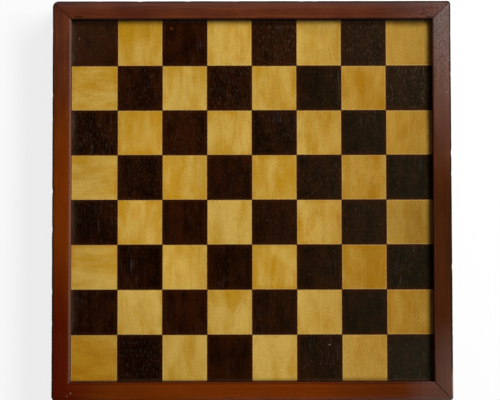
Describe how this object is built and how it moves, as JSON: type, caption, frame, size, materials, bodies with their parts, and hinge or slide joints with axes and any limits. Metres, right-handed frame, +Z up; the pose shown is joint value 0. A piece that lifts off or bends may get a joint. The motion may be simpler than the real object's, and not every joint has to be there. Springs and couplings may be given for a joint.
{
  "type": "framed chess board",
  "caption": "Flat square chess board: thick light and dark wood squares set below the lip of a mitred hardwood frame.",
  "frame": {"origin": "middle of the underside, on the surface that the board lies on", "axes": "+X right and +Y to the back of the board as the picture shows it from above, +Z up out of the playing face"},
  "size_m": [0.4518, 0.4518, 0.0254],
  "materials": {
    "light_squares": "old varnished boxwood, honey yellow",
    "dark_squares": "old varnished dark rosewood, open pores",
    "rails": "polished mahogany",
    "tongues": "bare mahogany slip",
    "ground": "bare old pine",
    "battens": "bare old mahogany",
    "screws": "old darkened steel"
  },
  "bodies": {
    "root": {"light_squares_row_1": "light_squares", "dark_squares_row_1": "dark_squares", "light_squares_row_2": "light_squares", "dark_squares_row_2": "dark_squares", "light_squares_row_3": "light_squares", "dark_squares_row_3": "dark_squares", "light_squares_row_4": "light_squares", "dark_squares_row_4": "dark_squares", "light_squares_row_5": "light_squares", "dark_squares_row_5": "dark_squares", "light_squares_row_6": "light_squares", "dark_squares_row_6": "dark_squares", "light_squares_row_7": "light_squares", "dark_squares_row_7": "dark_squares", "light_squares_row_8": "light_squares", "dark_squares_row_8": "dark_squares", "rail_front": "rails", "rail_right": "rails", "rail_back": "rails", "rail_left": "rails", "mitre_tongue_front_left": "tongues", "mitre_tongue_front_right": "tongues", "mitre_tongue_back_right": "tongues", "mitre_tongue_back_left": "tongues", "ground_board_left": "ground", "ground_board_middle": "ground", "ground_board_right": "ground", "cross_batten_front": "battens", "cross_batten_back": "battens", "batten_screws": "screws", "ground_screws": "screws"}
  },
  "joints": []
}
